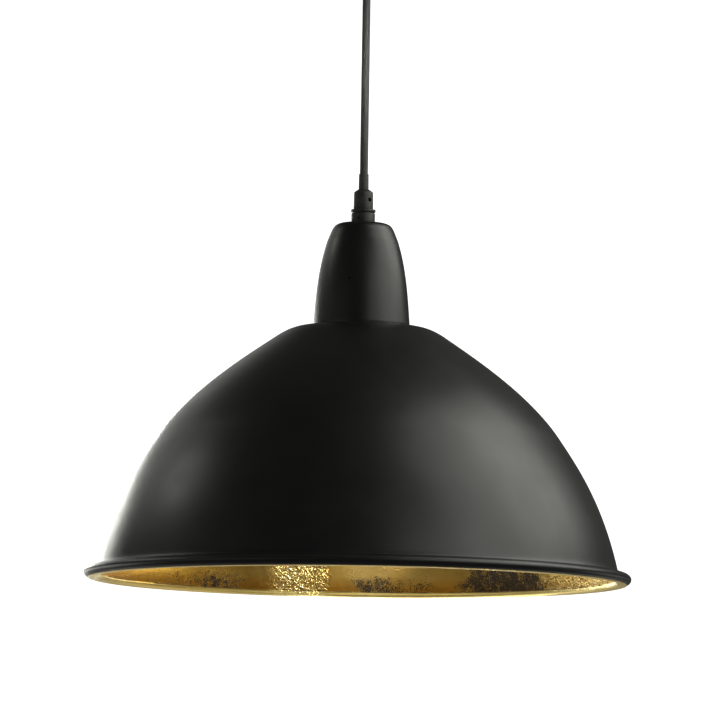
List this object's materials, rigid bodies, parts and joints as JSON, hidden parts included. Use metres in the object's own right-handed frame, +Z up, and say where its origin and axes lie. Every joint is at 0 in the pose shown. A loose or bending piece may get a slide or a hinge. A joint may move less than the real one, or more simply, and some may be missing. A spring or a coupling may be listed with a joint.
{
  "type": "pendant ceiling light",
  "caption": "Dome pendant ceiling light with a rolled lip, a gold-leaf lining and a tall holder cap, hung by a round cord from a small ceiling cup.",
  "frame": {"origin": "middle of the mounting strap's top face, which lies against the ceiling", "axes": "+Z up into the ceiling; the shade hangs along -Z; -Y is the front; the strap lies along X"},
  "size_m": [0.47, 0.47, 0.5758],
  "materials": {
    "black_paint": "satin black powder coat on spun steel",
    "black_metal": "satin black plated brass fittings",
    "gold_leaf": "hand-laid gold-coloured leaf under lacquer",
    "cord_sheath": "round black flexible cord, matt",
    "black_rubber": "matt moulded rubber",
    "black_plastic": "moulded thermoplastic",
    "white_plastic": "moulded polyamide",
    "porcelain": "glazed insulating ceramic",
    "zinc_steel": "bright zinc plate",
    "brass_parts": "plain turned or pressed brass",
    "opal_plastic": "opal diffuser, satin",
    "circuit_board": "glass-epoxy board",
    "brown_wire": "brown insulation",
    "blue_wire": "blue insulation",
    "earth_wire": "green and yellow insulation"
  },
  "bodies": {
    "ceiling_fitting": {"mounting_strap": "zinc_steel", "cord_clamp": "white_plastic", "cord_clamp_screw_1": "zinc_steel", "cord_clamp_screw_2": "zinc_steel", "terminal_block": "white_plastic", "terminal_screw_1": "brass_parts", "terminal_screw_2": "brass_parts", "terminal_screw_3": "brass_parts", "terminal_screw_4": "brass_parts", "terminal_screw_5": "brass_parts", "terminal_screw_6": "brass_parts", "live_wire_upper": "brown_wire", "neutral_wire_upper": "blue_wire", "earth_wire_upper": "earth_wire", "cord_in_cup": "cord_sheath"},
    "cup": {"ceiling_cup": "black_paint", "cup_cord_bush": "black_plastic", "cup_bush_nut": "black_plastic", "cup_grub_screw": "black_metal"},
    "cord": {"cord": "cord_sheath"},
    "pendant": {"shade": "black_paint", "gold_leaf_lining": "gold_leaf", "holder_cap": "black_paint", "grip_collar": "black_metal", "collar_pin": "black_metal", "grip_lock_ring": "black_metal", "cord_grip_barrel": "black_metal", "cord_grip_screw": "black_metal", "strain_relief_sleeve": "black_rubber", "threaded_tube": "zinc_steel", "cap_washer": "zinc_steel", "cap_locknut": "brass_parts", "cord_in_grip": "cord_sheath", "lampholder_housing": "black_plastic", "lampholder_skirt": "black_plastic", "shade_ring_upper": "black_plastic", "shade_ring_lower": "black_plastic", "socket_insert": "porcelain", "socket_shell": "brass_parts", "centre_contact": "brass_parts", "socket_screw_1": "brass_parts", "socket_screw_2": "brass_parts", "live_wire_lower": "brown_wire", "neutral_wire_lower": "blue_wire", "earth_wire_lower": "earth_wire", "earth_plate": "brass_parts"},
    "lamp_tip": {"lamp_tip_contact": "zinc_steel"},
    "lamp": {"lamp_screw_cap": "zinc_steel", "lamp_cap_insulator": "black_plastic", "lamp_heat_sink": "white_plastic", "lamp_diffuser": "opal_plastic", "lamp_led_board": "white_plastic", "lamp_driver_board": "circuit_board"}
  },
  "joints": [
    {"name": "cup_slide", "type": "slide", "parent": "ceiling_fitting", "child": "cup", "axis": [0, 0, -1], "range_m": [0, 0.04]},
    {"name": "cord_swing", "type": "hinge", "parent": "ceiling_fitting", "child": "cord", "pos_m": [0, 0, -0.051], "axis": [0, 1, 0], "range_deg": [-15, 15], "deforming": ["cord"]},
    {"name": "shade_tilt", "type": "hinge", "parent": "cord", "child": "pendant", "pos_m": [0, 0, -0.235], "axis": [1, 0, 0], "range_deg": [-12, 12]},
    {"name": "lamp_travel", "type": "slide", "parent": "pendant", "child": "lamp_tip", "axis": [0, 0, -1], "range_m": [0, 0.011]},
    {"name": "lamp_turn", "type": "hinge", "parent": "lamp_tip", "child": "lamp", "pos_m": [0, 0, -0.371], "axis": [0, 0, -1], "range_deg": [0, 1080]}
  ],
  "couplings": [
    {"joint": "lamp_travel", "follows": "lamp_turn", "m_per_rad": 0.00057757}
  ]
}
